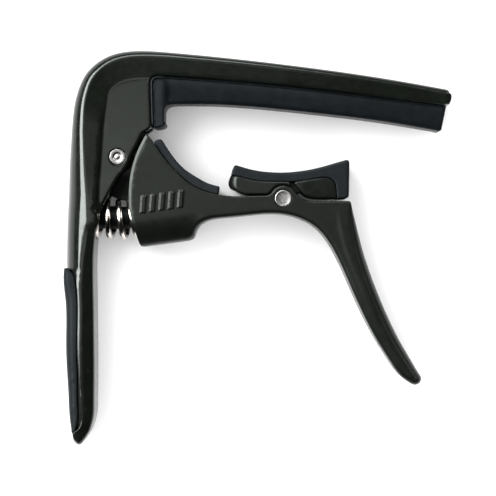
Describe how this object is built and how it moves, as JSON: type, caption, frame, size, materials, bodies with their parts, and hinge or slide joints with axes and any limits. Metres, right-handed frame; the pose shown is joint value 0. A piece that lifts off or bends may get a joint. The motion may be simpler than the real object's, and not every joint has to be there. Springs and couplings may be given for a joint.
{
  "type": "guitar capo",
  "caption": "Spring-loaded trigger capo: L-shaped frame with a padded string bar, a hinged finger lever and a swivelling padded neck shoe.",
  "frame": {"origin": "middle of the capo's box in plan, at the plane it lies on", "axes": "+Z through the thickness, from the side it lies on; +Y from the handle's end towards the string bar; +X from the spine towards the bar's free end"},
  "size_m": [0.0808, 0.082, 0.0134],
  "materials": {
    "powder_coat": "fine matt black powder coat",
    "pad_rubber": "satin blue-black silicone rubber",
    "grip_rubber": "soft-touch black rubber",
    "pin_steel": "turned and polished pin ends",
    "spring_nickel": "bright nickel plate",
    "bush_bronze": "oiled sintered bronze",
    "washer_nylon": "black nylon"
  },
  "bodies": {
    "frame": {"frame": "powder_coat", "string_pad": "pad_rubber", "handle_grip": "grip_rubber", "hinge_pin": "pin_steel", "hinge_washer_upper": "washer_nylon", "hinge_washer_lower": "washer_nylon", "spring": "spring_nickel"},
    "lever": {"lever": "powder_coat", "lever_pad": "pad_rubber", "hinge_bush": "bush_bronze", "rocker_pin": "pin_steel"},
    "rocker": {"rocker": "powder_coat", "rocker_pad": "pad_rubber"}
  },
  "joints": [
    {"name": "lever_hinge", "type": "hinge", "parent": "frame", "child": "lever", "pos_m": [-0.02902, 0.01889, 0.0067], "axis": [0, 0, -1], "range_deg": [0, 26], "stiffness_Nm_per_rad": 2.8, "springref_deg": -14.32, "deforming": ["spring"]},
    {"name": "rocker_pivot", "type": "hinge", "parent": "lever", "child": "rocker", "pos_m": [0.00538, 0.01024, 0.0067], "axis": [0, 0, 1], "range_deg": [-2, 1]}
  ]
}
